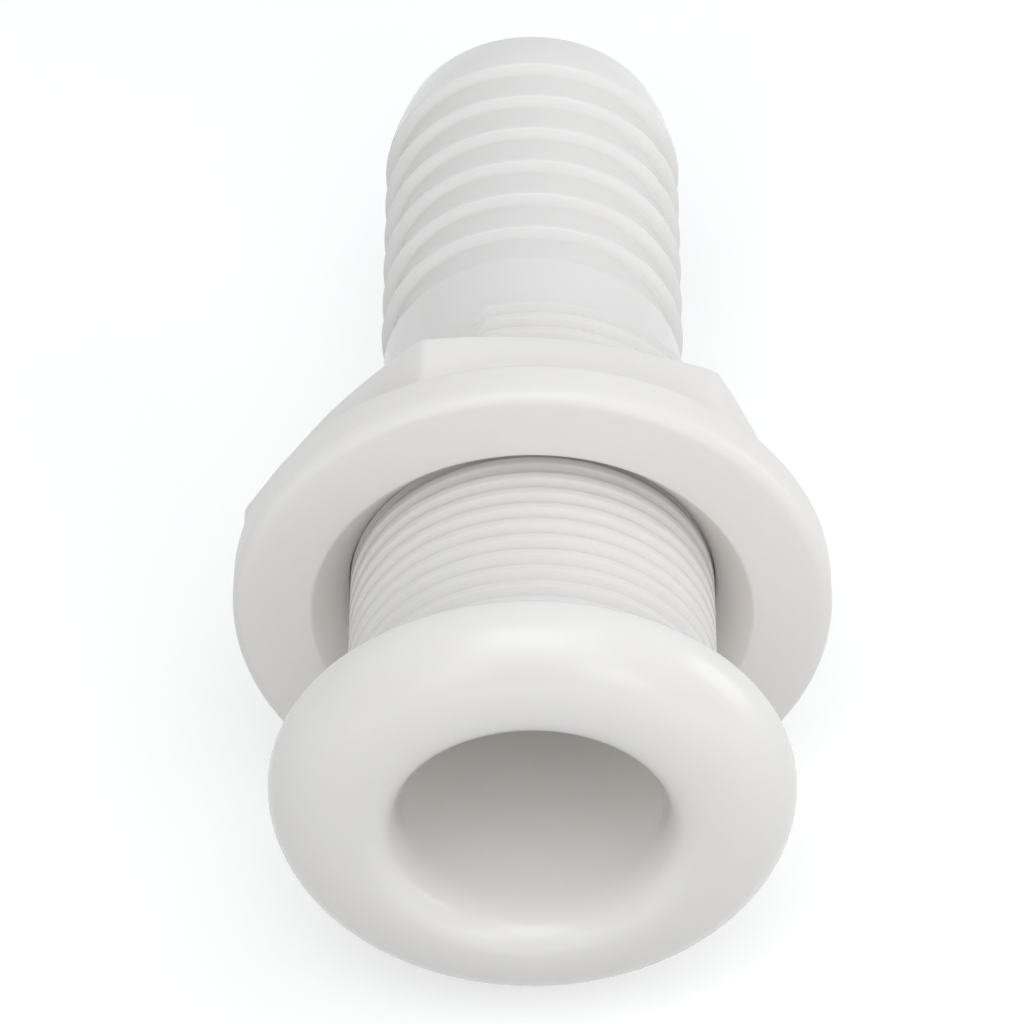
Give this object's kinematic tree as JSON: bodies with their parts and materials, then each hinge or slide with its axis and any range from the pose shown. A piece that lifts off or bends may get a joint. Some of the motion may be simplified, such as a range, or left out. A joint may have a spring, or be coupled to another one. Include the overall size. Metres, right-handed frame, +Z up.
{
  "type": "thru hull fitting",
  "caption": "Plastic thru hull fitting: mushroom head on a threaded shank, a flange nut that clamps the hull, and a barbed hose tail with a through bore.",
  "frame": {"origin": "on the bore axis, in the plane of the head's flat underside, where the fitting seats on the outside of the hull", "axes": "+Y along the bore from the head to the hose tail (inboard), +Z up, +X right when looking along +Y"},
  "size_m": [0.0572, 0.1006, 0.0572],
  "materials": {
    "body_plastic": "white moulded plastic, soft gloss",
    "nut_plastic": "white moulded plastic, soft gloss"
  },
  "bodies": {
    "hull_body": {"hull_body": "body_plastic"},
    "flange_nut": {"flange_nut": "nut_plastic"}
  },
  "joints": [
    {"name": "nut_travel", "type": "slide", "parent": "hull_body", "child": "flange_nut", "axis": [0, 1, 0], "range_m": [-0.0215, 0.013]}
  ]
}
